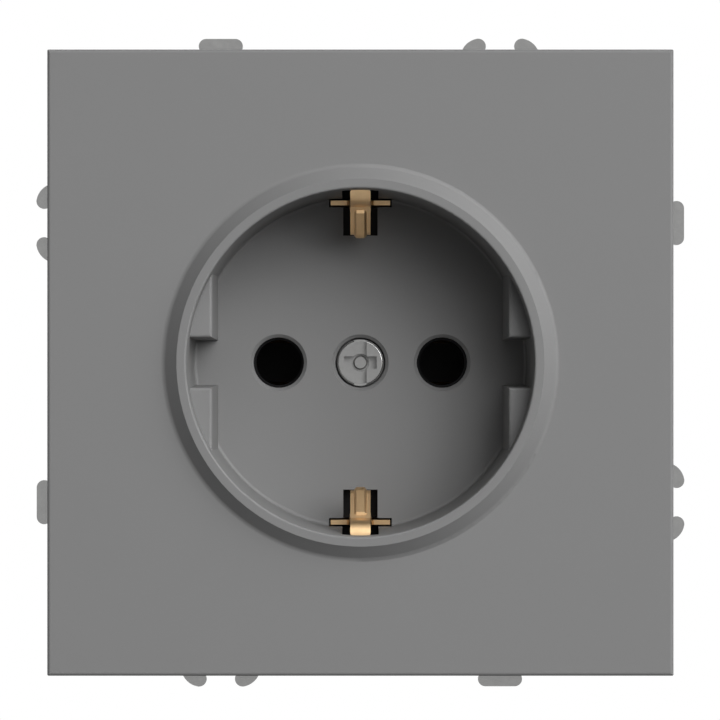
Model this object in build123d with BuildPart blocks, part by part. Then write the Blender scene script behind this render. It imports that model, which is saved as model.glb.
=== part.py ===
"""Flush-mounted wall socket insert with a square central plate, in millimetres.

X runs to the right, Z up and Y into the wall. The origin lies on the socket's axis in the wall's surface,
which the back of the support ring rests on, so a depth below zero stands out into the room.
"""

import os
from math import atan2, cos, degrees, radians, sin, tan

from build123d import *

# Cover plate
plate_side = 70.5
plate_standoff = 10.0
plate_wall = 2.0
plate_edge_round = 0.12
plate_corner_round = 0.15
skirt_wall = 1.6
skirt_depth = 7.0
rib_wall = 1.0
rib_height = 3.0
rib_count = 8

# Raised rim and plug dish
rim_rise = 1.5
rim_lip = 1.08
rim_flank = 1.5
rim_foot_fillet = 0.66
mouth_radius = 19.57
mouth_round = 0.25
dish_depth = 17.5
dish_draft = 0.24
dish_wall = 1.4
dish_fillet = 0.4
floor_wall = 2.0

# Guide blocks in the dish
guide_chord = 16.53
guide_gap = 5.2
guide_taper = 1.0
guide_below_lip = 3.8
guide_round = 0.3

# Plug pins and their holes
pin_pitch = 19.0
pin_length = 19.0
pin_radius = 2.4
pin_clearance = 0.25
pin_hole_radius = 2.94
pin_hole_chamfer = 0.37

# Centre screw
screw_radius = 1.5
screw_length = 7.3
screw_head_radius = 2.72
screw_head_height = 1.8
screw_head_sink = 0.3
screw_head_round = 0.3
screw_boss_radius = 4.4
screw_seat_wall = 1.25
thread_clearance = 0.05
slot_width = 1.45
slot_depth = 0.7
cross_length = 3.8
cross_depth = 1.0
pit_radius = 1.08
pit_floor_radius = 0.98
pit_depth = 1.3
stud_radius = 0.84
stud_top_radius = 0.66
screw_tip_chamfer = 0.3

# Earth bracket and the slots that its springs reach through
earth_sheet = 0.55
earth_width = 6.9
earth_leg_offset = 18.56
earth_bend = 0.9
earth_hub_radius = 2.4
earth_hub_length = 3.0
tongue_width = 2.3
tongue_flare = 0.4
flare_neck = 0.18
flare_rise = 0.45
flare_length = 2.4
knee_offset = 14.68
knee_below_lip = 10.3
knee_bend = 0.9
ramp_end_offset = 18.05
ramp_end_below_lip = 7.06
lip_foot_offset = 18.2
lip_foot_below_lip = 4.3
lip_end_offset = 19.6
lip_end_below_lip = 4.1
lip_curl = 1.5
lip_corner = 0.3
spring_bend = 0.6
arm_below_floor = 0.1
bead_rise = 0.38
bead_width = 1.42
bead_flank = 0.26
bead_start_offset = 17.75
bead_tail_share = 0.35
arm_slot_length = 7.28
arm_slot_width = 1.0
arm_slot_rise = 1.0
tongue_slot_width = 4.0
tongue_slot_inner = 14.76
wall_notch_width = 4.2
wall_notch_below_lip = 3.5

# Support ring with interlocking lugs
ring_side = 70.0
ring_sides = 4
ring_corner = 5.0
ring_sheet = 1.0
ring_clearance = 0.2
box_screw_offset = 30.0
box_slot_width = 4.2
box_slot_length = 5.4
lug_offset = 16.0
lug_reach = 36.25
lug_head_length = 5.06
lug_head_width = 1.7
lug_neck_width = 2.9
fin_nose_radius = 0.88
fin_nose_offset = 2.5
fin_arc_radius = 2.3
fin_arc_offset = 2.26
fin_arc_drop = 1.4
fin_pocket_length = 5.72
fin_pocket_depth = 2.1
fin_pocket_round = 0.6

# Socket base and rear cover
collar_clearance = 0.45
base_radius = 23.0
base_rear_room = 1.9
web_wall = 3.0
flange_radius = 24.2
flange_wall = 2.4
rear_cover_wall = 2.0
fit_clearance = 0.2
rivet_circle_radius = 25.2
rivet_count = 4
rivet_radius = 1.25
rivet_head_radius = 2.1
rivet_head_height = 0.7
rivet_ear_radius = 3.0
cover_screw_offset = 17.2
cover_screw_radius = 1.1
cover_screw_length = 8.0
cover_screw_head_radius = 2.2
cover_screw_head_height = 1.3
cover_cross_length = 2.6
cover_cross_width = 0.7
rear_edge_chamfer = 0.5

# Contacts, clamp springs and release buttons
contact_sheet = 0.7
contact_width = 7.0
contact_eye_radius = 2.95
contact_grip = 2.62
contact_mouth = 3.7
contact_bend = 0.8
contact_mouth_length = 3.0
contact_lead = 7.4
contact_play = 0.4
bar_offset = 9.35
bar_length = 11.2
clamp_sheet = 0.4
clamp_width = 7.4
clamp_split = 0.6
clamp_top = 15.95
clamp_knee = 13.9
clamp_tip = 9.95
clamp_bend = 0.7
clamp_front_gap = 2.2
clamp_length = 9.0
clamp_leg_length = 6.4
terminal_top = 16.2
terminal_width = 8.0
wire_pitch = 3.8
wire_window = 3.0
wire_window_round = 0.7
wire_funnel = 0.35
wire_offset = 11.0
button_width = 6.0
button_low = 13.05
button_high = 15.55
button_nose_high = 13.75
button_flange = 0.55
button_flange_length = 1.3
button_nose_length = 2.8
button_proud = 1.0
button_clearance = 0.12
button_round = 0.4
button_stop_gap = 0.1

# Spreading claws
claw_angle = -22.0
claw_swing = 25.0
claw_sheet = 1.2
claw_width = 11.2
claw_prong_width = 2.3
claw_pivot_offset = 22.6
claw_pivot_depth = 2.2
claw_heel_radius = 1.0
claw_heel_clearance = 0.1
claw_arm_length = 7.2
claw_prong_depth = 21.0
claw_tooth_length = 3.0
claw_tooth_angle = 50.0
claw_screw_offset = 26.2
claw_screw_radius = 1.5
claw_screw_length = 14.0
claw_screw_head_radius = 2.75
claw_screw_head_height = 1.9
claw_screw_clearance = 0.15
claw_nut_side = 5.0
claw_nut_height = 2.2
claw_nut_play = 0.05
claw_room = 0.6
claw_flat_offset = 21.4
claw_window_depth = 1.5

# Depths along the socket's axis, from the wall's surface inwards
plate_front = -plate_standoff
plate_back = plate_front + plate_wall
skirt_back = plate_front + skirt_depth
lip_front = plate_front - rim_rise
floor_front = lip_front + dish_depth
floor_back = floor_front + floor_wall
web_back = floor_back + web_wall
floor_radius = mouth_radius - dish_draft
rim_top_radius = mouth_radius + rim_lip
rim_foot_radius = rim_top_radius + rim_flank
screw_seat = floor_front + screw_head_sink + screw_head_height
boss_back = screw_seat + screw_seat_wall
pocket_front = floor_front + contact_lead - contact_play
contact_back = floor_front + pin_length + contact_play + contact_sheet / 2
base_depth = contact_back + contact_sheet / 2 + base_rear_room
cover_back = base_depth + rear_cover_wall
collar_radius = mouth_radius + dish_wall - dish_draft / 2 + collar_clearance
ring_opening_radius = collar_radius + ring_clearance
guide_front = lip_front + guide_below_lip
claw_angles = (claw_angle, claw_angle + 180)
pole_offset = pin_pitch / 2
rivet_angle = 45.0
funnel_angle = 45.0
depth_match = 0.01
skirt_inner = plate_side / 2 - skirt_wall
notch_front = lip_front + wall_notch_below_lip
pit_taper = degrees(atan2(pit_radius - pit_floor_radius, pit_depth))
stud_height = pit_depth - slot_depth
stud_taper = degrees(atan2(stud_radius - stud_top_radius, stud_height))
arm_front = floor_front + arm_below_floor
bend_front = arm_front - flare_rise
bridge_depth = web_back + earth_sheet / 2
knee_depth = lip_front + knee_below_lip
ramp_end_depth = lip_front + ramp_end_below_lip
bead_share = (bead_start_offset - knee_offset) / (ramp_end_offset - knee_offset)
bead_start_depth = knee_depth + bead_share * (ramp_end_depth - knee_depth)
bead_tail_depth = knee_depth + bead_tail_share * (bend_front - knee_depth)
bead_tail_offset = knee_offset + bead_tail_share * (earth_leg_offset - knee_offset)
leg_inside = earth_leg_offset - earth_sheet / 2 - fit_clearance
bend_inside = earth_leg_offset - earth_sheet / 2 - earth_bend
leg_outside = earth_leg_offset + earth_sheet / 2 + fit_clearance
fin_pocket_top = lug_reach - fin_nose_radius
fin_arc_reach = lug_reach - fin_arc_drop
fin_root = ring_side / 2 - lug_head_width
fin_neck_offset = fin_arc_offset + fin_arc_radius / 2
lug_root = ring_side / 2 - lug_head_width / 2
contact_front = floor_front + contact_lead
contact_room = contact_mouth + contact_sheet / 2 + fit_clearance
bar_low = bar_offset - contact_sheet / 2
clamp_front = pocket_front + clamp_front_gap
clamp_back = clamp_front + clamp_length
clamp_tip_depth = clamp_back - clamp_leg_length
button_flange_back = base_depth - button_stop_gap
wire_mouth = wire_window + 2 * wire_funnel
terminals = ((-pole_offset, 1), (pole_offset, 1), (0, -1))
terminal_names = ("live", "neutral", "earth")
claw_names = ("right", "left")
claw_tilt = radians(claw_swing)
claw_lever = claw_screw_offset - claw_pivot_offset
claw_screw_reach = claw_screw_radius + claw_screw_clearance
claw_slot_low = (claw_lever - claw_screw_reach - claw_sheet / 2 * sin(claw_tilt)) / cos(claw_tilt)
claw_slot_high = (claw_lever + claw_screw_reach + claw_sheet / 2 * sin(claw_tilt)) / cos(claw_tilt)
claw_nut_rise = (claw_lever + claw_nut_side / 2) * tan(claw_tilt) + claw_sheet / 2 / cos(claw_tilt)
claw_nut_front = claw_pivot_depth + claw_nut_rise + claw_nut_play


def facing(depth):
    """The sketch plane square to the axis at a depth, looking out into the room."""
    return Plane.XZ.offset(-depth)


def rear_facing(depth):
    """The sketch plane square to the axis at a depth, looking into the wall, with X to the right."""
    return Plane(origin=(0, depth, 0), x_dir=(1, 0, 0), z_dir=(0, 1, 0))


def side_plane(offset_x, upward):
    """A plane along the axis: its first direction is depth, its second runs up or down."""
    return Plane(origin=(offset_x, 0, 0), x_dir=(0, 1, 0), z_dir=(upward, 0, 0))


def claw_plane(angle):
    """A plane through the axis on one claw: its first direction is outward, its second is depth."""
    turn = radians(angle)
    return Plane(origin=(0, 0, 0), x_dir=(cos(turn), 0, sin(turn)), z_dir=(-sin(turn), 0, cos(turn)))


def pane(left, right, low, high):
    """A rectangle in the current sketch, given by its edges."""
    with Locations(((left + right) / 2, (low + high) / 2)):
        Rectangle(right - left, high - low)


def cut_block(plane, left, right, low, high, width):
    """Cuts a block out of the current part, centred on a plane."""
    with BuildSketch(plane) as outline:
        pane(left, right, low, high)
    extrude(outline.sketch, amount=width / 2, both=True, mode=Mode.SUBTRACT)


def add_block(plane, left, right, low, high, width):
    """Adds a block to the current part, centred on a plane."""
    with BuildSketch(plane) as outline:
        pane(left, right, low, high)
    extrude(outline.sketch, amount=width / 2, both=True)


def drive_recess(face_plane, head_radius):
    """Cuts a screwdriver slot, a cross and a round pit with a stud into the head of the current screw."""
    with BuildSketch(face_plane) as slot:
        Rectangle(slot_width, 2 * head_radius)
    extrude(slot.sketch, amount=-slot_depth, mode=Mode.SUBTRACT)
    with BuildSketch(face_plane) as cross:
        Rectangle(cross_length, slot_width)
    extrude(cross.sketch, amount=-cross_depth, mode=Mode.SUBTRACT)
    with BuildSketch(face_plane) as pit:
        Circle(pit_radius)
    extrude(pit.sketch, amount=-pit_depth, taper=pit_taper, mode=Mode.SUBTRACT)
    with BuildSketch(face_plane.offset(-pit_depth)) as stud:
        Circle(stud_radius)
    extrude(stud.sketch, amount=stud_height, taper=stud_taper)


def taper_strip(plane, foot, head, length):
    """Adds a strip of the earth sheet that narrows from one half width to another along the plane's own y."""
    with BuildSketch(plane) as outline:
        with BuildLine():
            Polyline((-foot, 0), (foot, 0), (head, length), (-head, length), close=True)
        make_face()
    extrude(outline.sketch, amount=earth_sheet / 2, both=True)


def near_depth(shapes, depth):
    """The shapes of a list whose centres lie at one depth."""
    return shapes.filter_by(lambda shape: abs(shape.center().Y - depth) < depth_match)


def of_radius(edges, radius):
    """The round edges of a list that have one radius."""
    return edges.filter_by(GeomType.CIRCLE).filter_by(lambda edge: abs(edge.radius - radius) < depth_match)


def save(part, name):
    """Names one piece and writes it to its file."""
    part.label = name
    export_step(part, f"parts/{name}.step")


os.makedirs("parts", exist_ok=True)

# Cover plate: one moulding with plate, rim, dish and guide blocks
with BuildPart() as cover_plate:
    with BuildSketch(facing(plate_front)):
        Rectangle(plate_side, plate_side)
    extrude(amount=-skirt_depth)
    fillet(cover_plate.edges().filter_by(Axis.Y), plate_corner_round)
    fillet(near_depth(cover_plate.faces(), plate_front).edges(), plate_edge_round)
    with BuildSketch(facing(plate_back)):
        Rectangle(plate_side - 2 * skirt_wall, plate_side - 2 * skirt_wall)
    extrude(amount=plate_back - skirt_back, mode=Mode.SUBTRACT)
    with BuildSketch(facing(plate_back)):
        with PolarLocations((mouth_radius + skirt_inner) / 2, rib_count):
            Rectangle(skirt_inner - mouth_radius, rib_wall)
    extrude(amount=-rib_height)
    with BuildSketch(Plane.XY) as dish_outside:
        with BuildLine():
            Polyline(
                (0, lip_front),
                (rim_top_radius, lip_front),
                (rim_foot_radius, plate_front),
                (rim_foot_radius + 2 * rim_foot_fillet, plate_front),
                (rim_foot_radius + 2 * rim_foot_fillet, plate_back),
                (mouth_radius + dish_wall, plate_back),
                (floor_radius + dish_wall, floor_back),
                (0, floor_back),
                close=True,
            )
        make_face()
        foot = dish_outside.vertices().sort_by_distance((rim_foot_radius, plate_front, 0))[0]
        fillet(foot, rim_foot_fillet)
    revolve(axis=Axis.Y)
    with BuildSketch(Plane.XY) as dish_inside:
        with BuildLine():
            Polyline(
                (0, lip_front),
                (mouth_radius, lip_front),
                (floor_radius, floor_front),
                (0, floor_front),
                close=True,
            )
        make_face()
        corner = dish_inside.vertices().sort_by_distance((floor_radius, floor_front, 0))[0]
        fillet(corner, dish_fillet)
    revolve(axis=Axis.Y, mode=Mode.SUBTRACT)
    fillet(of_radius(near_depth(cover_plate.edges(), lip_front), mouth_radius), mouth_round)
    with BuildSketch(facing(floor_front)):
        Circle(floor_radius + dish_wall / 2)
        Rectangle(2 * guide_chord, plate_side, mode=Mode.SUBTRACT)
        Rectangle(plate_side, guide_gap, mode=Mode.SUBTRACT)
    extrude(amount=floor_front - guide_front, taper=guide_taper)
    guide_edges = near_depth(cover_plate.faces().filter_by(Axis.Y), guide_front).edges()
    fillet(guide_edges.filter_by(GeomType.LINE), guide_round)
    with BuildSketch(facing(floor_back)):
        Circle(screw_boss_radius)
    extrude(amount=floor_back - boss_back)
    with BuildSketch(facing(floor_front)):
        with Locations((-pole_offset, 0), (pole_offset, 0)):
            Circle(pin_hole_radius)
    extrude(amount=-floor_wall, mode=Mode.SUBTRACT)
    with BuildSketch(facing(floor_front)):
        Circle(screw_head_radius + fit_clearance)
    extrude(amount=floor_front - screw_seat, mode=Mode.SUBTRACT)
    with BuildSketch(facing(screw_seat)):
        Circle(screw_radius + fit_clearance)
    extrude(amount=screw_seat - boss_back, mode=Mode.SUBTRACT)
    floor_edges = near_depth(cover_plate.edges(), floor_front)
    chamfer(of_radius(floor_edges, pin_hole_radius), pin_hole_chamfer)
    chamfer(of_radius(floor_edges, screw_head_radius + fit_clearance), pin_hole_chamfer)
    for upward in (1, -1):
        arm_inner = earth_leg_offset - arm_slot_width / 2
        arm_outer = earth_leg_offset + arm_slot_width / 2
        notch_outer = mouth_radius + 2 * dish_wall
        side = side_plane(0, upward)
        cut_block(side, floor_front - arm_slot_rise, floor_back, arm_inner, arm_outer, arm_slot_length)
        cut_block(side, floor_front, floor_back, tongue_slot_inner, earth_leg_offset, tongue_slot_width)
        cut_block(side, notch_front, floor_back, earth_leg_offset, notch_outer, wall_notch_width)
save(cover_plate.part, "cover_plate")

# Centre screw that draws the cover plate onto the base
with BuildPart() as centre_screw:
    with BuildSketch(facing(screw_seat)):
        Circle(screw_head_radius)
    extrude(amount=screw_head_height)
    fillet(near_depth(centre_screw.edges(), screw_seat - screw_head_height), screw_head_round)
    with BuildSketch(facing(screw_seat)):
        Circle(screw_radius)
    extrude(amount=-screw_length)
    chamfer(near_depth(centre_screw.edges(), screw_seat + screw_length), screw_tip_chamfer)
    drive_recess(facing(screw_seat - screw_head_height), screw_head_radius)
save(centre_screw.part, "centre_screw")

# Bead that stiffens one earth spring over its knee
with BuildPart() as bead:
    with BuildSketch(side_plane(0, 1)):
        with BuildLine():
            FilletPolyline(
                (bead_start_depth, bead_start_offset - bead_rise),
                (knee_depth, knee_offset - bead_rise),
                (bead_tail_depth, bead_tail_offset - bead_rise),
                radius=knee_bend,
            )
        trace(line_width=earth_sheet)
    extrude(amount=bead_width / 2, both=True)
    front_edge = bead.edges().filter_by(Axis.X).sort_by(Axis.Y)[:1]
    chamfer(bead.faces().filter_by(Axis.X).edges() + front_edge, bead_flank)

# Earth bracket: one bent strip with both earth springs, the screw hub and the earth clamping bar
with BuildPart() as earth_bracket:
    with BuildSketch(side_plane(0, 1)):
        with BuildLine():
            FilletPolyline(
                (arm_front, earth_leg_offset),
                (bridge_depth, earth_leg_offset),
                (bridge_depth, -earth_leg_offset),
                (arm_front, -earth_leg_offset),
                radius=earth_bend,
            )
        trace(line_width=earth_sheet)
    extrude(amount=earth_width / 2, both=True)
    for upward in (1, -1):
        with BuildSketch(side_plane(0, upward)):
            with BuildLine():
                FilletPolyline(
                    (web_back, earth_leg_offset),
                    (bend_front, earth_leg_offset),
                    (knee_depth, knee_offset),
                    (ramp_end_depth, ramp_end_offset),
                    (lip_front + lip_foot_below_lip, lip_foot_offset),
                    (lip_front + lip_end_below_lip, lip_end_offset),
                    radius=(spring_bend, knee_bend, spring_bend, lip_curl),
                )
            trace(line_width=earth_sheet)
        extrude(amount=tongue_width / 2, both=True)
        flare_half = tongue_width / 2 + flare_neck
        leg_face = Plane(origin=(0, arm_front, upward * earth_leg_offset), x_dir=(1, 0, 0), z_dir=(0, 0, -1))
        taper_strip(leg_face, tongue_width / 2 + tongue_flare, flare_half, flare_rise)
        slope = (knee_depth - bend_front, knee_offset - earth_leg_offset)
        slope_face = Plane(
            origin=(0, bend_front, upward * earth_leg_offset),
            x_dir=(1, 0, 0),
            z_dir=(0, -upward * slope[1], slope[0]),
        )
        taper_strip(slope_face, flare_half, tongue_width / 2, flare_length)
        lip_end = Vector(0, lip_front + lip_end_below_lip, upward * lip_end_offset)
        lip_edges = earth_bracket.edges().filter_by(lambda edge: abs(edge.length - earth_sheet) < depth_match)
        lip_corners = lip_edges.filter_by(lambda edge: (edge.center() - lip_end).length < tongue_width)
        fillet(lip_corners, lip_corner)
    add(bead.part)
    add(mirror(bead.part, about=Plane.XY, mode=Mode.PRIVATE))
    with BuildSketch(facing(web_back)):
        Circle(earth_hub_radius)
    extrude(amount=-earth_hub_length)
    add_block(side_plane(0, -1), bridge_depth, contact_back, bar_low, bar_low + earth_sheet, contact_width)
    with BuildSketch(facing(web_back)):
        Circle(screw_radius + thread_clearance)
    extrude(amount=-earth_hub_length, mode=Mode.SUBTRACT)
save(earth_bracket.part, "earth_bracket")

# Support ring: stamped sheet with box screw slots and lugs that hook into a neighbouring ring
with BuildPart() as support_ring:
    with BuildSketch(facing(0)):
        RectangleRounded(ring_side, ring_side, ring_corner)
        with PolarLocations(0, ring_sides):
            with Locations((-lug_offset, lug_reach)):
                SlotOverall(lug_head_length, lug_head_width)
            pane(-lug_offset - lug_neck_width / 2, -lug_offset + lug_neck_width / 2, lug_root, lug_reach)
            for side in (1, -1):
                with Locations((lug_offset + side * fin_arc_offset, fin_arc_reach)):
                    Circle(fin_arc_radius)
                with Locations((lug_offset + side * fin_neck_offset, (fin_root + fin_arc_reach) / 2)):
                    Rectangle(fin_arc_radius, fin_arc_reach - fin_root)
        with PolarLocations(0, ring_sides):
            with Locations((lug_offset, fin_pocket_top)):
                Rectangle(2 * fin_nose_offset, 2 * fin_arc_radius, mode=Mode.SUBTRACT)
        with PolarLocations(0, ring_sides):
            for side in (1, -1):
                with Locations((lug_offset + side * fin_nose_offset, lug_reach)):
                    Circle(fin_nose_radius)
        with PolarLocations(0, ring_sides):
            with Locations((lug_offset, fin_pocket_top - fin_pocket_depth / 2)):
                RectangleRounded(fin_pocket_length, fin_pocket_depth, fin_pocket_round, mode=Mode.SUBTRACT)
        Circle(ring_opening_radius, mode=Mode.SUBTRACT)
        with PolarLocations(box_screw_offset, ring_sides):
            SlotOverall(box_slot_length, box_slot_width, mode=Mode.SUBTRACT)
        with PolarLocations(claw_screw_offset, len(claw_angles), start_angle=claw_angle):
            Circle(claw_screw_radius + claw_screw_clearance, mode=Mode.SUBTRACT)
        with PolarLocations(rivet_circle_radius, rivet_count, start_angle=rivet_angle):
            Circle(rivet_radius + thread_clearance, mode=Mode.SUBTRACT)
    extrude(amount=ring_sheet)
save(support_ring.part, "support_ring")

# Socket base: flange and collar round the dish, a web behind its floor and pockets that open to the rear
with BuildPart() as socket_base:
    with BuildSketch(facing(0)):
        Circle(flange_radius)
        with PolarLocations(rivet_circle_radius, rivet_count, start_angle=rivet_angle):
            Circle(rivet_ear_radius)
    extrude(amount=-flange_wall)
    with BuildSketch(facing(0)):
        Circle(base_radius)
    extrude(amount=-base_depth)
    with BuildSketch(facing(0)):
        Circle(collar_radius)
    extrude(amount=-floor_back, mode=Mode.SUBTRACT)
    with BuildSketch(facing(floor_back)):
        with Locations((-pole_offset, 0), (pole_offset, 0)):
            Circle(pin_radius + pin_clearance)
    extrude(amount=floor_back - pocket_front, mode=Mode.SUBTRACT)
    with BuildSketch(facing(floor_back)):
        Circle(screw_boss_radius + fit_clearance)
    extrude(amount=floor_back - boss_back - fit_clearance, mode=Mode.SUBTRACT)
    with BuildSketch(facing(floor_back)):
        Circle(screw_radius + fit_clearance)
    extrude(amount=-web_wall, mode=Mode.SUBTRACT)
    room = earth_width + 2 * fit_clearance
    cut_block(side_plane(0, 1), web_back, base_depth, -leg_outside, leg_outside, room)
    for upward in (1, -1):
        side = side_plane(0, upward)
        cut_block(side, floor_back, web_back, leg_inside, leg_outside, room)
        cut_block(side, web_back - earth_bend, web_back, bend_inside, leg_outside, room)
    for offset_x, upward in terminals:
        side = side_plane(offset_x, upward)
        cut_block(side, pocket_front, base_depth, bar_low, terminal_top, terminal_width)
    for offset_x in (-pole_offset, pole_offset):
        pole = side_plane(offset_x, 1)
        room = contact_width + 2 * fit_clearance
        cut_block(pole, pocket_front, base_depth, -contact_room, contact_room, room)
        cut_block(pole, contact_back - contact_sheet / 2 - contact_bend, base_depth, 0, bar_offset, room)
    for angle in claw_angles:
        plane = claw_plane(angle)
        room = claw_width + 2 * claw_room
        cut_block(plane, collar_radius - claw_window_depth, plate_side, claw_pivot_depth, floor_back, room)
        cut_block(plane, claw_flat_offset, plate_side, floor_back, base_depth, room)
        cut_block(plane, claw_pivot_offset + claw_room, plate_side, 0, floor_back, room)
        with BuildSketch(plane):
            with Locations((claw_pivot_offset, claw_pivot_depth)):
                Circle(claw_heel_radius + claw_heel_clearance)
        extrude(amount=room / 2, both=True, mode=Mode.SUBTRACT)
    with BuildSketch(facing(0)):
        with PolarLocations(rivet_circle_radius, rivet_count, start_angle=rivet_angle):
            Circle(rivet_radius + thread_clearance)
    extrude(amount=-flange_wall, mode=Mode.SUBTRACT)
    with BuildSketch(rear_facing(base_depth)):
        with Locations((-cover_screw_offset, 0), (cover_screw_offset, 0)):
            Circle(cover_screw_radius + thread_clearance)
    extrude(amount=-cover_screw_length, mode=Mode.SUBTRACT)
save(socket_base.part, "socket_base")

# Rear cover: closes the base, with wire entries and windows for the release buttons
with BuildPart() as rear_cover:
    with BuildSketch(rear_facing(base_depth)):
        Circle(base_radius)
    extrude(amount=rear_cover_wall)
    for angle in claw_angles:
        room = claw_width + 2 * claw_room
        cut_block(claw_plane(angle), claw_flat_offset, plate_side, base_depth, cover_back, room)
    chamfer(near_depth(rear_cover.faces(), cover_back).edges(), rear_edge_chamfer)
    for offset_x in (-pole_offset, pole_offset):
        post_front = contact_back + contact_sheet / 2
        pole = side_plane(offset_x, 1)
        add_block(pole, post_front, base_depth, -contact_mouth, contact_mouth, contact_width)
    for offset_x, upward in terminals:
        wire_height = -upward * wire_offset
        left_wire = (offset_x - wire_pitch / 2, wire_height)
        right_wire = (offset_x + wire_pitch / 2, wire_height)
        wire_places = Locations(left_wire, right_wire)
        window_height = button_high - button_low + 2 * button_clearance
        with BuildSketch(rear_facing(base_depth)):
            with Locations((offset_x, -upward * (button_low + button_high) / 2)):
                Rectangle(button_width + 2 * button_clearance, window_height)
            with wire_places:
                RectangleRounded(wire_window, wire_window, wire_window_round)
        extrude(amount=rear_cover_wall, mode=Mode.SUBTRACT)
        with BuildSketch(rear_facing(cover_back)):
            with wire_places:
                RectangleRounded(wire_mouth, wire_mouth, wire_window_round + wire_funnel)
        extrude(amount=-wire_funnel, taper=funnel_angle, mode=Mode.SUBTRACT)
    with BuildSketch(rear_facing(base_depth)):
        with Locations((-cover_screw_offset, 0), (cover_screw_offset, 0)):
            Circle(cover_screw_radius + fit_clearance)
    extrude(amount=rear_cover_wall, mode=Mode.SUBTRACT)
save(rear_cover.part, "rear_cover")

# Two tapping screws that hold the rear cover
with BuildPart() as rear_cover_screws:
    with BuildSketch(rear_facing(cover_back)):
        with Locations((-cover_screw_offset, 0), (cover_screw_offset, 0)):
            Circle(cover_screw_head_radius)
    extrude(amount=cover_screw_head_height)
    chamfer(near_depth(rear_cover_screws.edges(), cover_back + cover_screw_head_height), screw_head_round)
    with BuildSketch(rear_facing(cover_back)):
        with Locations((-cover_screw_offset, 0), (cover_screw_offset, 0)):
            Circle(cover_screw_radius)
    extrude(amount=-cover_screw_length)
    with BuildSketch(rear_facing(cover_back + cover_screw_head_height)):
        with Locations((-cover_screw_offset, 0), (cover_screw_offset, 0)):
            Rectangle(cover_cross_length, cover_cross_width)
            Rectangle(cover_cross_width, cover_cross_length)
    extrude(amount=-slot_depth, mode=Mode.SUBTRACT)
save(rear_cover_screws.part, "rear_cover_screws")

# Four rivets that hold the support ring on the base
with BuildPart() as ring_rivets:
    with BuildSketch(facing(-ring_sheet)):
        with PolarLocations(rivet_circle_radius, rivet_count, start_angle=rivet_angle):
            Circle(rivet_head_radius)
    extrude(amount=rivet_head_height)
    chamfer(near_depth(ring_rivets.edges(), -ring_sheet - rivet_head_height), rivet_head_height / 2)
    with BuildSketch(facing(-ring_sheet)):
        with PolarLocations(rivet_circle_radius, rivet_count, start_angle=rivet_angle):
            Circle(rivet_radius)
    extrude(amount=-ring_sheet - flange_wall)
    with BuildSketch(facing(flange_wall)):
        with PolarLocations(rivet_circle_radius, rivet_count, start_angle=rivet_angle):
            Circle(rivet_head_radius)
    extrude(amount=-rivet_head_height)
save(ring_rivets.part, "ring_rivets")


def pin_contact(offset_x):
    """One pole's tulip spring with its clamping bar, bent from a strip, and an eye behind the pin."""
    pole = side_plane(offset_x, 1)
    with BuildPart() as piece:
        with BuildSketch(pole):
            with BuildLine():
                FilletPolyline(
                    (contact_front, -contact_mouth),
                    (contact_front + contact_mouth_length, -contact_grip),
                    (contact_back, -contact_mouth),
                    (contact_back, bar_offset),
                    (contact_back - bar_length, bar_offset),
                    radius=contact_bend,
                )
            trace(line_width=contact_sheet)
        extrude(amount=contact_width / 2, both=True)
        with BuildSketch(pole):
            with BuildLine():
                FilletPolyline(
                    (contact_front, contact_mouth),
                    (contact_front + contact_mouth_length, contact_grip),
                    (contact_back, contact_mouth),
                    radius=contact_bend,
                )
            trace(line_width=contact_sheet)
        extrude(amount=contact_width / 2, both=True)
        with BuildSketch(facing(contact_back)):
            with Locations((offset_x, 0)):
                Circle(contact_eye_radius)
        extrude(amount=contact_sheet, both=True, mode=Mode.SUBTRACT)
    return piece.part


def clamp_spring(offset_x, upward):
    """One terminal's leaf spring with a split leg for two wires."""
    side = side_plane(offset_x, upward)
    with BuildPart() as piece:
        with BuildSketch(side):
            with BuildLine():
                FilletPolyline(
                    (clamp_front, clamp_top),
                    (clamp_back, clamp_top),
                    (clamp_back - clamp_bend, clamp_knee),
                    (clamp_tip_depth, clamp_tip),
                    radius=clamp_bend,
                )
            trace(line_width=clamp_sheet)
        extrude(amount=clamp_width / 2, both=True)
        cut_block(side, clamp_front, clamp_back, bar_low, clamp_knee, clamp_split)
    return piece.part


def release_button(offset_x, upward):
    """One terminal's push button with its stop flange and the nose that bends the clamp spring."""
    side = side_plane(offset_x, upward)
    with BuildPart() as piece:
        add_block(side, button_flange_back, cover_back + button_proud, button_low, button_high, button_width)
        fillet(near_depth(piece.faces(), cover_back + button_proud).edges(), button_round)
        add_block(
            side,
            button_flange_back - button_flange_length,
            button_flange_back,
            button_low,
            button_high + button_flange / 2,
            button_width + 2 * button_flange,
        )
        nose_back = button_flange_back - button_flange_length
        add_block(side, nose_back - button_nose_length, nose_back, button_low, button_nose_high, button_width)
    return piece.part


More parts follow.
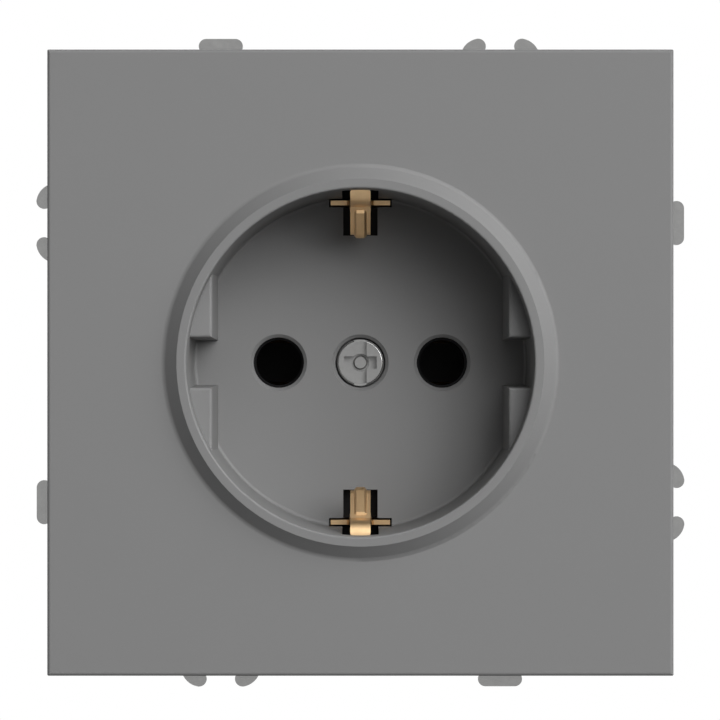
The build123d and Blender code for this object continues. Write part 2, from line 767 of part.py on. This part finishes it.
def claw(angle):
    """One spreading claw: an arm that the nut draws forward and two prongs that swing out."""
    plane = claw_plane(angle)
    tooth = radians(claw_tooth_angle)
    arm_end = (
        claw_pivot_offset + claw_arm_length * cos(claw_tilt),
        claw_pivot_depth + claw_arm_length * sin(claw_tilt),
    )
    tooth_end = (
        claw_pivot_offset + claw_tooth_length * sin(tooth),
        claw_prong_depth + claw_tooth_length * cos(tooth),
    )
    with BuildPart() as piece:
        with BuildSketch(plane):
            with Locations((claw_pivot_offset, claw_pivot_depth)):
                Circle(claw_heel_radius)
            with BuildLine():
                Line((claw_pivot_offset, claw_pivot_depth), arm_end)
            trace(line_width=claw_sheet)
        extrude(amount=claw_width / 2, both=True)
        with BuildSketch(plane):
            with BuildLine():
                FilletPolyline(
                    (claw_pivot_offset, claw_pivot_depth),
                    (claw_pivot_offset, claw_prong_depth),
                    tooth_end,
                    radius=claw_sheet,
                )
            trace(line_width=claw_sheet)
        extrude(amount=claw_width / 2, both=True)
        prong_gap = claw_width - 2 * claw_prong_width
        prong_inside = claw_pivot_offset - claw_sheet
        prong_outside = claw_pivot_offset + claw_sheet / 2 + thread_clearance
        gap_start = claw_pivot_depth + claw_heel_radius
        cut_block(plane, prong_inside, prong_outside, gap_start, claw_prong_depth, prong_gap)
        tooth_start = claw_prong_depth - claw_tooth_length
        cut_block(plane, prong_inside, plate_side, tooth_start, plate_side, prong_gap)
        arm_plane = Plane(
            origin=plane.from_local_coords((claw_pivot_offset, claw_pivot_depth, 0)),
            x_dir=plane.x_dir * cos(claw_tilt) + plane.y_dir * sin(claw_tilt),
            z_dir=plane.y_dir * cos(claw_tilt) - plane.x_dir * sin(claw_tilt),
        )
        with BuildSketch(arm_plane):
            with Locations(((claw_slot_low + claw_slot_high) / 2, 0)):
                SlotOverall(claw_slot_high - claw_slot_low, 2 * claw_screw_reach)
        extrude(amount=claw_sheet, both=True, mode=Mode.SUBTRACT)
    return piece.part


def claw_axis_plane(angle, depth):
    """The sketch plane square to one claw screw at a depth, looking out into the room."""
    centre = claw_plane(angle).from_local_coords((claw_screw_offset, depth, 0))
    return Plane(origin=centre, x_dir=claw_plane(angle).x_dir, z_dir=(0, -1, 0))


def claw_screw(angle):
    """One claw screw, whose head rests on the front of the support ring."""
    with BuildPart() as piece:
        with BuildSketch(claw_axis_plane(angle, -ring_sheet)):
            Circle(claw_screw_head_radius)
        extrude(amount=claw_screw_head_height)
        chamfer(near_depth(piece.edges(), -ring_sheet - claw_screw_head_height), screw_head_round)
        with BuildSketch(claw_axis_plane(angle, -ring_sheet)):
            Circle(claw_screw_radius)
        extrude(amount=-claw_screw_length)
        chamfer(near_depth(piece.edges(), claw_screw_length - ring_sheet), screw_tip_chamfer)
        drive_recess(claw_axis_plane(angle, -ring_sheet - claw_screw_head_height), claw_screw_head_radius)
    return piece.part


def claw_nut(angle):
    """One square nut that slides between the prongs of its claw."""
    with BuildPart() as piece:
        with BuildSketch(claw_axis_plane(angle, claw_nut_front)):
            Rectangle(claw_nut_side, claw_nut_side)
            Circle(claw_screw_radius + thread_clearance, mode=Mode.SUBTRACT)
        extrude(amount=-claw_nut_height)
    return piece.part


save(pin_contact(-pole_offset), "live_contact")
save(pin_contact(pole_offset), "neutral_contact")
for terminal_name, terminal in zip(terminal_names, terminals):
    save(clamp_spring(*terminal), f"{terminal_name}_clamp_spring")
    save(release_button(*terminal), f"{terminal_name}_release_button")
for claw_name, angle in zip(claw_names, claw_angles):
    save(claw(angle), f"{claw_name}_claw")
    save(claw_screw(angle), f"{claw_name}_claw_screw")
    save(claw_nut(angle), f"{claw_name}_claw_nut")
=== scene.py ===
"""Looks of the flush-mounted wall socket: finishes, screw threads, camera, floor and soft studio light."""

import logging
from collections.abc import Mapping
from dataclasses import dataclass
from enum import Enum
from math import cos, pi, radians, sin
from typing import ClassVar, Union

import bpy
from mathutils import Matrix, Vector


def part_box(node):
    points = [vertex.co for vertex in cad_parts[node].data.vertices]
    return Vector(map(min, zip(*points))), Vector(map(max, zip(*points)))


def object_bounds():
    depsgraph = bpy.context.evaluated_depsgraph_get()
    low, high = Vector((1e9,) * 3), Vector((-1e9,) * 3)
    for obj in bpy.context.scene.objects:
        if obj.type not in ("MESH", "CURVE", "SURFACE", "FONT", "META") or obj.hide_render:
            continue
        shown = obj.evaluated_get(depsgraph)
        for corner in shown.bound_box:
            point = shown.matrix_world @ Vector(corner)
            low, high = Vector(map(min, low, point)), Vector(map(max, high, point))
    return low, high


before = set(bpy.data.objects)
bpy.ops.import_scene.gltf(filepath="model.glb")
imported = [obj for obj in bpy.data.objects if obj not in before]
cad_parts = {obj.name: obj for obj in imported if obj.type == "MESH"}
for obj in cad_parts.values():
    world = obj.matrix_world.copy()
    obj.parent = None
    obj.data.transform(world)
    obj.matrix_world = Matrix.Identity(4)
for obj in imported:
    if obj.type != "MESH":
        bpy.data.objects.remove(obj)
cad_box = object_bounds()

log = logging.getLogger("wall_socket")
MM = 0.001
PHOTO_SIDE = 720
FULL_TURN = 2 * pi
MIDDLE = 0.5  # what noise averages, and the tone of a colour as it is
WHITE = (1.0, 1.0, 1.0)

Triple = tuple[float, float, float]
Number = Union["Signal", float]
Sockets = dict[str | int, object]


class Signal:
    """One output of a shader tree, whose arithmetic adds Math nodes."""

    def __init__(self, tree: "ShaderTree", socket: bpy.types.NodeSocket | None) -> None:
        """Keeps the socket and the tree that it belongs to."""
        self.tree = tree
        self.socket = socket

    def _math(self, operation: str, *values: Number) -> "Signal":
        """Adds one Math node with its inputs in order, and hands back its result."""
        return self.tree.node("ShaderNodeMath", {"operation": operation}, dict(enumerate(values)))

    def __add__(self, other: Number) -> "Signal":
        """Adds a number or a signal."""
        return self._math("ADD", self, other)

    def __radd__(self, other: Number) -> "Signal":
        """Adds the signal to a number."""
        return self._math("ADD", other, self)

    def __sub__(self, other: Number) -> "Signal":
        """Takes away a number or a signal."""
        return self._math("SUBTRACT", self, other)

    def __rsub__(self, other: Number) -> "Signal":
        """Takes the signal from a number."""
        return self._math("SUBTRACT", other, self)

    def __mul__(self, other: Number) -> "Signal":
        """Multiplies by a number or a signal."""
        return self._math("MULTIPLY", self, other)

    def __rmul__(self, other: Number) -> "Signal":
        """Multiplies a number by the signal."""
        return self._math("MULTIPLY", other, self)

    def swing(self, amount: float) -> "Signal":
        """How far the signal is off its middle of 0.5, times an amount."""
        return (self - MIDDLE) * amount

    def wave(self) -> "Signal":
        """A wave from 0 to 1 that follows the sine of the signal."""
        return self._math("SINE", self) * MIDDLE + MIDDLE

    def size(self) -> "Signal":
        """The signal without its sign."""
        return self._math("ABSOLUTE", self)

    def larger(self, other: Number) -> "Signal":
        """The larger of the signal and another."""
        return self._math("MAXIMUM", self, other)

    def angle_from(self, other: Number) -> "Signal":
        """The angle whose tangent is the signal over another, in radians."""
        return self._math("ARCTAN2", self, other)

    def between(self, low: float, high: float) -> "Signal":
        """Spreads the range from low to high smoothly over 0 to 1.

        Args:
            low: The value that becomes 0.
            high: The value that becomes 1.

        Returns:
            The spread signal.
        """
        settings = {"interpolation_type": "SMOOTHSTEP"}
        sockets = {"Value": self, "From Min": low, "From Max": high}
        return self.tree.node("ShaderNodeMapRange", settings, sockets)


class ShaderTree:
    """The node tree of a material or of the world, with one method that adds any node."""

    def __init__(self, owner: bpy.types.Material | bpy.types.World) -> None:
        """Empties the owner's node tree and keeps it.

        Args:
            owner: The material or world.
        """
        owner.use_nodes = True
        self.nodes = owner.node_tree.nodes
        self.links = owner.node_tree.links
        self.nodes.clear()

    def node(
        self,
        kind: str,
        settings: Mapping[str, object] | None = None,
        sockets: Mapping[str | int, object] | None = None,
        output: str | int = 0,
    ) -> Signal:
        """Adds one node.

        Args:
            kind: The node's type.
            settings: Its properties, set before its sockets.
            sockets: The values or signals of its inputs, by name or place.
            output: The output to hand back, by name or place.

        Returns:
            That output, or a signal without a socket where the node has none.
        """
        made = self.nodes.new(kind)
        for key, value in (settings or {}).items():
            setattr(made, key, value)
        for key, value in (sockets or {}).items():
            if isinstance(value, Signal):
                self.links.new(value.socket, made.inputs[key])
            else:
                made.inputs[key].default_value = value
        return Signal(self, made.outputs[output] if len(made.outputs) else None)

    def place(self) -> Signal:
        """The point of the surface in the part's own frame, in metres."""
        return self.node("ShaderNodeTexCoord", output="Object")

    def part(self, vector: Signal, axis: str) -> Signal:
        """One component of a vector, along X, Y or Z."""
        return self.node("ShaderNodeSeparateXYZ", {}, {"Vector": vector}, output=axis)

    def noise(self, point: Signal, scale: float, detail: float) -> Signal:
        """Cloudy noise about 0.5 at a point, with its clouds per metre and the finer layers added."""
        return self.node("ShaderNodeTexNoise", {}, {"Vector": point, "Scale": scale, "Detail": detail})

    def streaks(self, density: Triple) -> Signal:
        """Noise about 0.5 that is drawn out into streaks, with its clouds per metre along each axis."""
        point = self.node("ShaderNodeMapping", {}, {"Vector": self.place(), "Scale": density})
        return self.noise(point, scale=1.0, detail=3.0)

    def blend(self, amount: Number, first: object, second: object) -> Signal:
        """Mixes two colours by the share of the second."""
        # The Mix node's sockets for colours come after those for numbers and vectors.
        sockets = {0: amount, 6: first, 7: second}
        return self.node("ShaderNodeMix", {"data_type": "RGBA"}, sockets, output=2)

    def bump(self, height: Signal, depth: float = 1.0) -> Signal:
        """The surface normal, tipped by a height of which 1 measures the depth in metres."""
        return self.node("ShaderNodeBump", {}, {"Height": height, "Distance": depth})

    def rays(self) -> tuple[Signal, Signal]:
        """Tells which rays look at the surface or the world.

        Returns:
            1 for the camera's rays, and 1 for those that metal mirrors or glass passes.
        """
        seen, mirrored, passed = (
            self.node("ShaderNodeLightPath", output=f"Is {ray} Ray")
            for ray in ("Camera", "Glossy", "Transmission")
        )
        return seen, mirrored.larger(passed)

    def surface(self, shader: Signal, kind: str = "ShaderNodeOutputMaterial") -> None:
        """Ends the tree with an output node that shows the shader."""
        self.node(kind, {}, {"Surface": shader})


def opaque(colour: Triple, share: float = 1.0) -> tuple[float, float, float, float]:
    """A share of a colour, with its alpha."""
    return (*(share * part for part in colour), 1.0)


@dataclass(frozen=True)
class Finish:
    """What every finish has: a name, a colour and a gloss."""

    name: str
    colour: Triple
    roughness: float
    TONE_ENDS: ClassVar[tuple[float, float]] = (0.5, 1.5)

    def material(self) -> bpy.types.Material:
        """Makes the material of this finish.

        Returns:
            The material, with its node tree.
        """
        made = bpy.data.materials.new(self.name)
        tree = ShaderTree(made)
        tree.surface(tree.node("ShaderNodeBsdfPrincipled", {}, self.sockets(tree)))
        return made

    def sockets(self, tree: ShaderTree) -> Sockets:
        """The values and signals of the surface shader by socket name, with their nodes in the tree."""
        raise NotImplementedError

    def toned(self, tree: ShaderTree, tone: Signal) -> Signal:
        """The finish's colour, darkest at a tone of 0, as it is at 0.5 and lightest at 1."""
        darkest, lightest = (opaque(self.colour, share) for share in self.TONE_ENDS)
        return tree.blend(tone, darkest, lightest)


@dataclass(frozen=True)
class SatinPlastic(Finish):
    """Moulded plastic with a fine eroded grain and a faint clouding of its colour."""

    sheen_level: float = 0.15
    grain: float = 0.16 * MM
    grain_depth: float = 0.0012 * MM
    grain_gloss: float = 0.08
    clouding: float = 0.03
    cloud_size: float = 9.0 * MM
    cloud_gloss: float = 0.1
    speckle: float = 0.05

    def sockets(self, tree: ShaderTree) -> Sockets:
        """The plastic's grain, clouding and gloss.

        Args:
            tree: The tree that holds their nodes.

        Returns:
            The values and signals by socket name.
        """
        point = tree.place()
        grain = tree.noise(point, 1 / self.grain, detail=3.0)
        clouds = tree.noise(point, 1 / self.cloud_size, detail=4.0)
        tone = clouds.swing(self.clouding) + grain.swing(self.speckle) + MIDDLE
        return {
            "Base Color": self.toned(tree, tone),
            "Roughness": self.roughness + clouds.swing(self.cloud_gloss) + grain.swing(self.grain_gloss),
            "Specular IOR Level": self.sheen_level,
            "Normal": tree.bump(self.relief(tree, point, grain)),
        }

    def relief(self, tree: ShaderTree, point: Signal, grain: Signal) -> Signal:
        """The height of the surface in metres, which is that of the grain."""
        return grain * self.grain_depth


@dataclass(frozen=True)
class PlatePlastic(SatinPlastic):
    """The square plate's plastic, whose front edges are softly rounded over."""

    half_side: float = 35.25 * MM
    round_over: float = 0.38 * MM
    edge_slope: float = 1.0

    def relief(self, tree: ShaderTree, point: Signal, grain: Signal) -> Signal:
        """The height of the grain, less the drop towards the edges.

        Args:
            tree: The tree that holds its nodes.
            point: The point of the surface.
            grain: The grain, from 0 to 1.

        Returns:
            The height, in metres.
        """
        across, upward = (tree.part(point, axis).size() for axis in "XZ")
        inward = self.half_side - across.larger(upward)
        past = (self.round_over - inward).larger(0.0)
        return grain * self.grain_depth - past * past * (self.edge_slope / (2 * self.round_over))


@dataclass(frozen=True)
class ZincPlate(Finish):
    """Zinc-plated sheet: mottled crystals, rolled streaks and a dull gloss."""

    mottle: float = 0.9 * MM
    streak: Triple = (900.0, 120.0, 900.0)
    streak_depth: float = 0.002 * MM
    contrast: float = 0.22
    unevenness: float = 0.06

    def sockets(self, tree: ShaderTree) -> Sockets:
        """The sheet's mottling, streaks and gloss.

        Args:
            tree: The tree that holds their nodes.

        Returns:
            The values and signals by socket name.
        """
        crystals = tree.noise(tree.place(), 1 / self.mottle, detail=5.0)
        streaks = tree.streaks(self.streak)
        tone = MIDDLE + crystals.swing(self.contrast) + streaks.swing(self.contrast / 2)
        return {
            "Base Color": self.toned(tree, tone),
            "Metallic": 1.0,
            "Roughness": self.roughness + crystals.swing(self.unevenness),
            "Normal": tree.bump(streaks, self.streak_depth),
        }


@dataclass(frozen=True)
class TurnedSteel(Finish):
    """Plated screws and nuts, with faint turning rings about their own axis.

    A thread shows on the shank beyond thread_start, which by default lies past the end of every piece, and
    its grooves are painted darker as painted shade. Where the plating isn't fully bare, a ring on the
    rounded edge of the head is painted lighter as a painted highlight and made fully metallic and a little
    rougher, so that it mirrors the lamps.
    """

    centre: tuple[float, float] = (0.0, 0.0)
    ring_pitch: float = 0.12 * MM
    ring_depth: float = 0.0008 * MM
    ring_shade: float = 0.03
    stain: float = 0.16
    stain_size: float = 0.5 * MM
    stain_gloss: float = 0.15
    bareness: float = 1.0
    # painted highlight: the ring on the head's rounded edge that is painted lighter, from its inner to its
    # outer radius
    highlight_ring: tuple[float, float] = (2.45 * MM, 2.62 * MM)
    highlight_blur: float = 0.04 * MM
    highlight_lift: float = 0.5
    highlight_gloss: float = 0.08
    thread_pitch: float = 0.5 * MM
    thread_depth: float = 0.12 * MM
    thread_radius: float = 1.6 * MM
    thread_fade: float = 0.95
    thread_start: float = 1.0
    # painted shade: how much darker the thread's grooves are painted
    groove_painted_shade: float = 0.25

    def sockets(self, tree: ShaderTree) -> Sockets:
        """The rings, the thread, the plating's stains, the painted shade and highlight, and the gloss.

        Args:
            tree: The tree that holds their nodes.

        Returns:
            The values and signals by socket name.
        """
        point = tree.place()
        axis_point = (self.centre[0], 0.0, self.centre[1])
        off_axis = (1.0, 0.0, 1.0)
        offset = tree.node("ShaderNodeVectorMath", {"operation": "SUBTRACT"}, {0: point, 1: axis_point})
        flat = tree.node("ShaderNodeVectorMath", {"operation": "MULTIPLY"}, {0: offset, 1: off_axis})
        radius = tree.node("ShaderNodeVectorMath", {"operation": "LENGTH"}, {0: flat}, output="Value")
        stains = tree.noise(point, 1 / self.stain_size, detail=4.0)
        rings = (radius * (FULL_TURN / self.ring_pitch) + stains * pi).wave()
        across, along, upward = (tree.part(offset, axis) for axis in "XYZ")
        helix = (along * (FULL_TURN / self.thread_pitch) - across.angle_from(upward)).wave()
        shank = 1.0 - radius.between(self.thread_fade * self.thread_radius, self.thread_radius)
        threaded = shank * along.between(self.thread_start, self.thread_start + self.thread_pitch)
        # painted shade: the thread's grooves are painted darker
        groove = (1.0 - helix) * threaded
        # painted highlight: a lighter, fully metallic, slightly rougher ring on the rounded edge of the head
        inside, outside = (radius.between(edge, edge + self.highlight_blur) for edge in self.highlight_ring)
        tarnish_and_highlight = (inside - outside) * (1.0 - self.bareness)
        plating = MIDDLE + stains.swing(self.stain) + rings.swing(self.ring_shade)
        return {
            "Base Color": self.toned(tree, plating - groove * self.groove_painted_shade + tarnish_and_highlight * self.highlight_lift),
            "Metallic": tarnish_and_highlight + self.bareness,
            "Roughness": self.roughness + stains.swing(self.stain_gloss) + tarnish_and_highlight * self.highlight_gloss,
            "Normal": tree.bump(rings * self.ring_depth + helix * threaded * self.thread_depth),
        }


@dataclass(frozen=True)
class RolledStrip(Finish):
    """Rolled brass, bronze or spring steel strip, with streaks along its length and slight tarnish."""

    tarnish: Triple = (0.3, 0.19, 0.09)
    tarnish_share: float = 0.35
    patch_size: float = 1.6 * MM
    patch_range: tuple[float, float] = (0.38, 0.72)
    patch_gloss: float = 0.06
    streak: Triple = (9000.0, 260.0, 260.0)
    streak_depth: float = 0.0015 * MM
    streak_share: float = 0.25
    streak_gloss: float = 0.16

    def sockets(self, tree: ShaderTree) -> Sockets:
        """The strip's streaks, tarnish and gloss.

        Args:
            tree: The tree that holds their nodes.

        Returns:
            The values and signals by socket name.
        """
        streaks = tree.streaks(self.streak)
        patches = tree.noise(tree.place(), 1 / self.patch_size, detail=4.0)
        # the share of tarnish, which is the strip's own colour
        tarnish_and_highlight = patches.between(*self.patch_range) * self.tarnish_share + streaks.swing(self.streak_share)
        return {
            "Base Color": tree.blend(tarnish_and_highlight, opaque(self.colour), opaque(self.tarnish)),
            "Metallic": 1.0,
            "Roughness": self.roughness + streaks.swing(self.streak_gloss) + patches * self.patch_gloss,
            "Normal": tree.bump(streaks, self.streak_depth),
        }


@dataclass(frozen=True)
class StudioFloor(Finish):
    """Pale matt paper, which throws little light back at the socket and can be seen through from below."""

    bounce: float = 0.15
    mirrored_share: float = 0.4
    clouding: float = 0.03
    cloud_size: float = 200.0 * MM

    def sockets(self, tree: ShaderTree) -> Sockets:
        """The paper's colour: pale to the camera, less so in metal, and dark for the light that it throws.

        Args:
            tree: The tree that holds the nodes.

        Returns:
            The values and signals by socket name.
        """
        clouds = tree.noise(tree.place(), 1 / self.cloud_size, detail=3.0)
        shares = (1.0 - self.clouding, 1.0 + self.clouding)
        paper = tree.blend(clouds, *(opaque(self.colour, share) for share in shares))
        seen, mirrored = tree.rays()
        pale = seen.larger(mirrored * self.mirrored_share)
        return {
            "Base Color": tree.blend(pale, opaque(self.colour, self.bounce), paper),
            "Roughness": self.roughness,
            "Specular IOR Level": 0.0,
            "Alpha": 1.0 - tree.node("ShaderNodeNewGeometry", output="Backfacing"),
        }


class Pole(Enum):
    """The three terminals at the back."""

    LIVE = "live"
    NEUTRAL = "neutral"
    EARTH = "earth"


class Side(Enum):
    """The two spreading claws, named as seen from the room."""

    RIGHT = "right"
    LEFT = "left"


def dress(node: str, finish: Finish) -> None:
    """Gives one piece of the frame its finish.

    Args:
        node: The piece's name.
        finish: Its finish.
    """
    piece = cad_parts[node]
    piece.data.materials.clear()
    piece.data.materials.append(finish.material())
    log.info("%s dressed as %s", node, finish.name)


def middle(node: str) -> Vector:
    """The middle of a piece's box at rest, in metres."""
    low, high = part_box(node)
    return (low + high) / 2


@dataclass
class FaceSet:
    """The cover plate with its dish, the centre screw and the earth springs that show in the dish."""

    grey: PlatePlastic = PlatePlastic("plate_grey", (0.2, 0.2, 0.2), 0.55, sheen_level=0.45)
    screw_zinc: TurnedSteel = TurnedSteel("centre_screw_zinc", (0.32, 0.32, 0.316), 0.14, bareness=0.25)
    brass: RolledStrip = RolledStrip("earth_brass", (0.96, 0.68, 0.385), 0.4, tarnish=(0.78, 0.52, 0.28))

    def dress(self) -> None:
        """Finishes the pieces that show from the room."""
        dress("cover_plate", self.grey)
        dress("centre_screw", self.screw_zinc)
        dress("earth_bracket", self.brass)


@dataclass
class CarrierSet:
    """The support ring, its rivets and the black body behind it."""

    zinc: ZincPlate = ZincPlate("ring_zinc", (0.455, 0.455, 0.45), 0.22)
    rivet_zinc: TurnedSteel = TurnedSteel("rivet_zinc", (0.6, 0.6, 0.6), 0.35)
    black: SatinPlastic = SatinPlastic("base_black", (0.005, 0.005, 0.0055), 0.5, grain_depth=0.003 * MM)
    cover_black: SatinPlastic = SatinPlastic("rear_cover_black", (0.016, 0.016, 0.017), 0.45)
    screw_zinc: TurnedSteel = TurnedSteel("cover_screw_zinc", (0.62, 0.62, 0.6), 0.3)

    def dress(self) -> None:
        """Finishes the ring and the body."""
        dress("support_ring", self.zinc)
        dress("ring_rivets", self.rivet_zinc)
        dress("socket_base", self.black)
        dress("rear_cover", self.cover_black)
        dress("rear_cover_screws", self.screw_zinc)


@dataclass
class TerminalSet:
    """The contacts, clamp springs and release buttons of the three terminals."""

    bronze: RolledStrip = RolledStrip("contact_bronze", (0.5, 0.34, 0.2), 0.42)
    steel: RolledStrip = RolledStrip("spring_steel", (0.5, 0.5, 0.5), 0.32, tarnish=(0.36, 0.34, 0.32))
    pale: SatinPlastic = SatinPlastic("button_pale", (0.5, 0.5, 0.48), 0.42)
    green: SatinPlastic = SatinPlastic("button_green", (0.06, 0.22, 0.07), 0.42)

    def dress(self) -> None:
        """Finishes the terminals' pieces."""
        for pole in Pole:
            if pole is not Pole.EARTH:
                dress(f"{pole.value}_contact", self.bronze)
            dress(f"{pole.value}_clamp_spring", self.steel)
            button = self.green if pole is Pole.EARTH else self.pale
            dress(f"{pole.value}_release_button", button)


@dataclass
class ClawDrive:
    """One spreading claw with its screw and nut."""

    side: Side
    zinc: ZincPlate = ZincPlate("claw_zinc", (0.55, 0.55, 0.53), 0.4)
    turned_colour: Triple = (0.6, 0.6, 0.58)
    turned_roughness: float = 0.3
    thread_start: float = 0.0

    def turned(self, screw: str) -> TurnedSteel:
        """The finish of the screw and its nut, turned about the screw's axis.

        Args:
            screw: The screw's name.

        Returns:
            The finish.
        """
        axis = middle(screw)
        return TurnedSteel(
            f"{screw}_zinc",
            self.turned_colour,
            self.turned_roughness,
            centre=(axis.x, axis.z),
            thread_start=self.thread_start,
        )

    def dress(self) -> None:
        """Finishes the claw, its screw and its nut."""
        name = self.side.value
        screw = f"{name}_claw_screw"
        turned = self.turned(screw)
        dress(f"{name}_claw", self.zinc)
        dress(screw, turned)
        dress(f"{name}_claw_nut", turned)


@dataclass(frozen=True)
class SoftBox:
    """One square lamp, aimed at the dish.

    Its bearing runs round the socket's axis from the right towards the top, and its tilt is away from that
    axis, both in degrees. Its distance and side are in metres. At a level of 1 a surface that faces it
    renders in the colour that it has. A lamp without glints doesn't show in glossy surfaces.
    """

    name: str
    bearing: float
    tilt: float
    distance: float
    side: float
    level: float
    glints: bool = True

    def light(self) -> None:
        """Makes the lamp."""
        bearing, tilt = radians(self.bearing), radians(self.tilt)
        towards = Vector((sin(tilt) * cos(bearing), -cos(tilt), sin(tilt) * sin(bearing)))
        data = bpy.data.lights.new(self.name, "AREA")
        data.shape = "SQUARE"
        data.size = self.side
        data.energy = self.level * (pi * self.distance) ** 2
        lamp = bpy.data.objects.new(self.name, data)
        lamp.location = towards * self.distance
        lamp.rotation_euler = towards.to_track_quat("Z", "Y").to_euler()
        lamp.visible_glossy = self.glints
        bpy.context.scene.collection.objects.link(lamp)
        log.info("lamp %s", self.name)


@dataclass
class Studio:
    """The camera in front of the socket, a pale floor below it, the lamps and the white surroundings."""

    camera_depth: float = -501.0 * MM
    lens: float = 218.12
    shift_right_px: float = -0.4
    shift_up_px: float = 2.6
    nearest_seen: float = 10.0 * MM
    floor_drop: float = 90.0 * MM
    floor_side: float = 900.0 * MM
    paper: StudioFloor = StudioFloor("floor_paper", (0.8, 0.8, 0.8), 0.9)
    ambient: float = 0.02
    room: float = 0.6
    room_blur: float = 0.25
    lamps: tuple[SoftBox, ...] = (
        SoftBox("key_near", 45.0, 20.0, 3.0, 1.5, 0.24, glints=False),
        SoftBox("key_front", 45.0, 32.0, 3.0, 1.5, 0.26, glints=False),
        SoftBox("key_top", 90.0, 32.0, 3.0, 1.5, 0.06, glints=False),
        SoftBox("key_right", 25.0, 45.0, 3.0, 1.5, 0.36),
        SoftBox("key_upper", 65.0, 45.0, 3.0, 1.5, 0.17),
        SoftBox("side_right", 25.0, 70.0, 3.0, 1.5, 0.12),
        SoftBox("side_upper", 45.0, 70.0, 3.0, 1.5, 0.27),
        SoftBox("rear_left", 150.0, 140.0, 1.4, 1.6, 0.5),
        SoftBox("rear_right", 40.0, 135.0, 1.4, 1.6, 0.4),
    )
    SENSOR: ClassVar[float] = 36.0

    def aim_camera(self) -> None:
        """Makes the camera straight in front of the socket."""
        data = bpy.data.cameras.new("front_camera")
        data.sensor_width = self.SENSOR
        data.lens = self.lens
        data.shift_x = self.shift_right_px / PHOTO_SIDE
        data.shift_y = self.shift_up_px / PHOTO_SIDE
        data.clip_start = self.nearest_seen
        camera = bpy.data.objects.new("front_camera", data)
        camera.location = (0.0, self.camera_depth, 0.0)
        camera.rotation_euler = (FULL_TURN / 4, 0.0, 0.0)
        bpy.context.scene.collection.objects.link(camera)
        bpy.context.scene.camera = camera

    def lay_floor(self) -> None:
        """Makes the floor below the socket."""
        half = self.floor_side / 2
        mesh = bpy.data.meshes.new("floor")
        corners = [(-half, -half, 0), (half, -half, 0), (half, half, 0), (-half, half, 0)]
        mesh.from_pydata(corners, [], [(0, 1, 2, 3)])
        floor = bpy.data.objects.new("floor", mesh)
        floor.location = (0.0, 0.0, cad_box[0].z - self.floor_drop)
        bpy.context.scene.collection.objects.link(floor)
        mesh.materials.append(self.paper.material())

    def surround(self) -> None:
        """Makes the surroundings.

        The camera sees white. Reflections see the same white behind the socket and a dimmer room in front of
        it, and everything else gets a low even light.
        """
        world = bpy.data.worlds.new("surroundings")
        bpy.context.scene.world = world
        tree = ShaderTree(world)
        seen, mirrored = tree.rays()
        direction = tree.node("ShaderNodeTexCoord", output="Generated")
        behind = tree.part(direction, "Y").between(-self.room_blur, self.room_blur)
        reflected = self.room + behind * (1.0 - self.room)
        share = seen.larger(mirrored * reflected)
        dim, white = (
            tree.node("ShaderNodeBackground", {}, {"Color": opaque(WHITE), "Strength": strength})
            for strength in (self.ambient, 1.0)
        )
        back = tree.node("ShaderNodeMixShader", {}, {0: share, 1: dim, 2: white})
        tree.surface(back, "ShaderNodeOutputWorld")

    def build(self) -> None:
        """Sets up the camera, floor, lamps and surroundings."""
        self.aim_camera()
        self.lay_floor()
        for lamp in self.lamps:
            lamp.light()
        self.surround()
        bpy.context.scene.view_settings.view_transform = "Standard"


def main() -> None:
    """Builds the studio and dresses the socket, one sub-assembly after the other."""
    logging.basicConfig(level=logging.INFO, format="%(message)s")
    Studio().build()
    FaceSet().dress()
    CarrierSet().dress()
    TerminalSet().dress()
    for side in Side:
        ClawDrive(side).dress()


if __name__ == "__main__":
    main()
